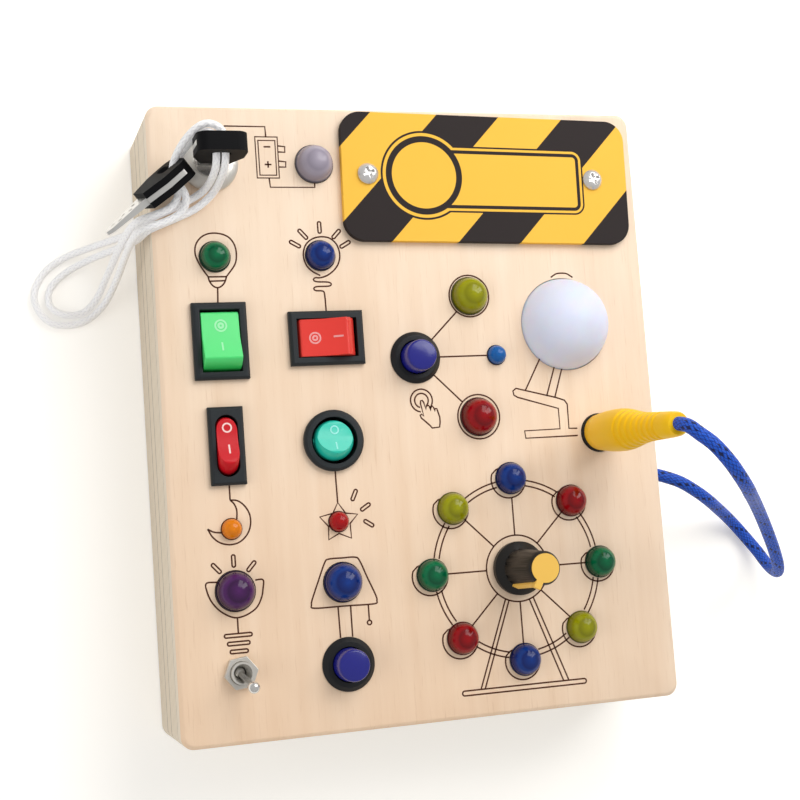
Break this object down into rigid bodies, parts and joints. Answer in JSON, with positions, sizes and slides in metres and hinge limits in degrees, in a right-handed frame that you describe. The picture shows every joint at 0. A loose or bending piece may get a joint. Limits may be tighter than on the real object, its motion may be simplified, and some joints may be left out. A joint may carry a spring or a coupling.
{
  "type": "busy board",
  "caption": "Wooden box board with rocker, toggle and push switches, a key lock, a knob, round lamps and a plug on a blue cord.",
  "frame": {"origin": "middle of the board's back face", "axes": "+Z out of the face, +Y towards the board's top edge, +X towards its right side"},
  "size_m": [0.2253, 0.172, 0.094],
  "materials": {
    "birch_ply": "clear matt varnish",
    "pale_ply": "sanded edge",
    "back_ply": "plain",
    "zinc_screw": "zinc plated",
    "spring_steel": "bright wire",
    "black_case": "moulded satin",
    "black_fitting": "moulded satin",
    "cell_wrap": "plain wrap",
    "green_cap": "gloss",
    "red_cap": "gloss",
    "slim_red_cap": "gloss",
    "teal_cap": "clear gloss",
    "brass_tag": "bright",
    "chrome_fitting": "bright",
    "blue_cap": "gloss",
    "key_plastic": "moulded satin",
    "key_steel": "nickel plated",
    "white_braid": "braided cotton",
    "steel_part": "zinc plated",
    "knob_black": "moulded satin",
    "yellow_mark": "satin",
    "yellow_plug": "soft vinyl",
    "blue_braid": "braided sleeve",
    "sign_yellow": "enamel, striped",
    "blue_lens": "clear gloss",
    "red_lens": "clear gloss",
    "green_lens": "clear gloss",
    "lime_lens": "clear gloss",
    "violet_lens": "clear gloss",
    "white_dome": "milky",
    "board_green": "solder mask"
  },
  "bodies": {
    "base": {"face_panel": "birch_ply", "frame_front": "pale_ply", "frame_middle": "birch_ply", "frame_back": "pale_ply", "back_panel": "back_ply", "back_screws": "zinc_screw", "battery_box": "black_case", "batteries": "cell_wrap", "battery_contacts": "spring_steel", "green_rocker_case": "black_case", "red_rocker_case": "black_case", "slim_rocker_case": "black_case", "round_rocker_case": "black_case", "switch_terminals": "brass_tag", "toggle_body": "chrome_fitting", "toggle_nut": "chrome_fitting", "lamp_button_body": "black_fitting", "lamp_button_spring": "spring_steel", "touch_button_body": "black_fitting", "touch_button_spring": "spring_steel", "button_nuts": "black_fitting", "lock_body": "chrome_fitting", "lock_nut": "chrome_fitting", "spare_key_head": "key_plastic", "spare_key_blade": "key_steel", "lanyard": "white_braid", "pot_body": "steel_part", "pot_nut": "steel_part", "jack_body": "black_fitting", "jack_nut": "black_fitting", "cord_grommet": "black_fitting", "sign_plate": "sign_yellow", "sign_screws": "zinc_screw", "blue_lenses": "blue_lens", "red_lenses": "red_lens", "green_lenses": "green_lens", "lime_lenses": "lime_lens", "lone_lenses": "violet_lens", "lamp_dome": "white_dome", "circuit_boards": "board_green", "board_screws": "zinc_screw"},
    "green_rocker": {"green_rocker": "green_cap"},
    "red_rocker": {"red_rocker": "red_cap"},
    "slim_rocker": {"slim_rocker": "slim_red_cap"},
    "round_rocker": {"round_rocker": "teal_cap"},
    "toggle_lever": {"toggle_lever": "chrome_fitting"},
    "lamp_button": {"lamp_button_cap": "blue_cap"},
    "touch_button": {"touch_button_cap": "blue_cap"},
    "key": {"lock_plug": "chrome_fitting", "main_key_head": "key_plastic", "main_key_blade": "key_steel", "lanyard_eye": "white_braid"},
    "knob": {"knob": "knob_black", "knob_cap": "yellow_mark", "pot_shaft": "steel_part"},
    "plug": {"plug_body": "yellow_plug", "plug_barrel": "steel_part", "blue_cord": "blue_braid"},
    "battery_cover": {"battery_cover": "black_case", "cover_screw": "zinc_screw"}
  },
  "joints": [
    {"name": "green_rocker_tilt", "type": "hinge", "parent": "base", "child": "green_rocker", "pos_m": [-0.0555, 0.0209, 0.0335], "axis": [1, 0, 0], "range_deg": [0, 30]},
    {"name": "red_rocker_tilt", "type": "hinge", "parent": "base", "child": "red_rocker", "pos_m": [-0.026, 0.0209, 0.0335], "axis": [0, 1, 0], "range_deg": [0, 30]},
    {"name": "slim_rocker_tilt", "type": "hinge", "parent": "base", "child": "slim_rocker", "pos_m": [-0.0555, -0.0074, 0.0335], "axis": [1, 0, 0], "range_deg": [0, 30]},
    {"name": "round_rocker_tilt", "type": "hinge", "parent": "base", "child": "round_rocker", "pos_m": [-0.026, -0.0074, 0.0346], "axis": [1, 0, 0], "range_deg": [0, 30]},
    {"name": "toggle_lever_tilt", "type": "hinge", "parent": "base", "child": "toggle_lever", "pos_m": [-0.0555, -0.0673, 0.033], "axis": [-0.9397, -0.342, 0], "range_deg": [0, 28]},
    {"name": "lamp_button_press", "type": "slide", "parent": "base", "child": "lamp_button", "axis": [0, 0, -1], "range_m": [0, 0.0018], "stiffness_N_per_m": 300, "springref_m": -0.001, "deforming": ["lamp_button_spring"]},
    {"name": "touch_button_press", "type": "slide", "parent": "base", "child": "touch_button", "axis": [0, 0, -1], "range_m": [0, 0.0018], "stiffness_N_per_m": 300, "springref_m": -0.001, "deforming": ["touch_button_spring"]},
    {"name": "key_turn", "type": "hinge", "parent": "base", "child": "key", "pos_m": [-0.0555, 0.07, 0.0435], "axis": [0, 0, -1], "range_deg": [0, 90]},
    {"name": "knob_turn", "type": "hinge", "parent": "base", "child": "knob", "pos_m": [0.025, -0.046, 0.045], "axis": [0, 0, -1], "range_deg": [-150, 150]},
    {"name": "plug_pull", "type": "slide", "parent": "base", "child": "plug", "axis": [0, 0, 1], "range_m": [0, 0.012]},
    {"name": "battery_cover_off", "type": "slide", "parent": "base", "child": "battery_cover", "axis": [0, 0, -1], "range_m": [0, 0.02]}
  ]
}
